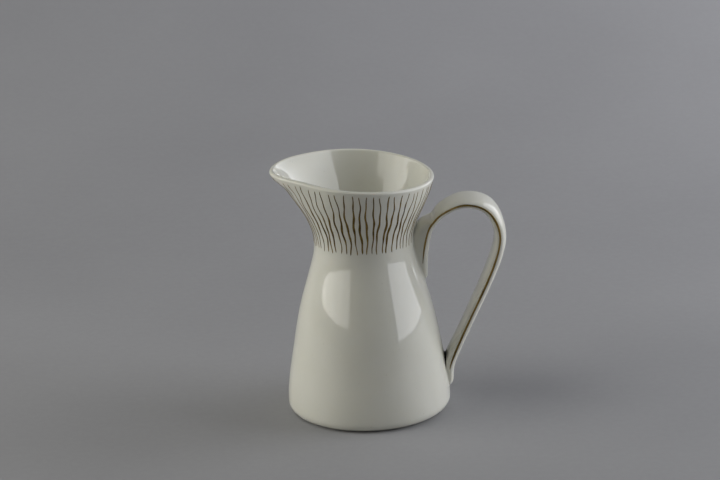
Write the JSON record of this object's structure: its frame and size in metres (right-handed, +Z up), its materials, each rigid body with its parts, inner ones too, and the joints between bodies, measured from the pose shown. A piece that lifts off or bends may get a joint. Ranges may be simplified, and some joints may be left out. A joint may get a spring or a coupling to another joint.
{
  "type": "porcelain cream jug",
  "caption": "Small hourglass porcelain cream jug with a pulled pouring lip, a broad strap handle, and brushed gold lines round the neck.",
  "frame": {"origin": "on the body's axis, in the plane where the foot ring meets the table", "axes": "+Z up along the body's axis; the pouring lip points to -X and the handle to +X; Y runs across the handle's width"},
  "size_m": [0.1076, 0.0758, 0.1173],
  "materials": {
    "glazed_porcelain": "clear gloss glaze over slightly warm white porcelain",
    "glazed_slip": "clear gloss glaze over slip",
    "brushed_gold": "fired bronze-gold lustre, brushed by hand, satin",
    "lined_gold": "fired bronze-gold lustre line, slightly worn"
  },
  "bodies": {
    "root": {"jug_body": "glazed_porcelain", "handle": "glazed_porcelain", "upper_joint_slip": "glazed_slip", "lower_joint_slip": "glazed_slip", "neck_gold_lines": "brushed_gold", "handle_gold_line_left": "lined_gold", "handle_gold_line_right": "lined_gold"}
  },
  "joints": []
}
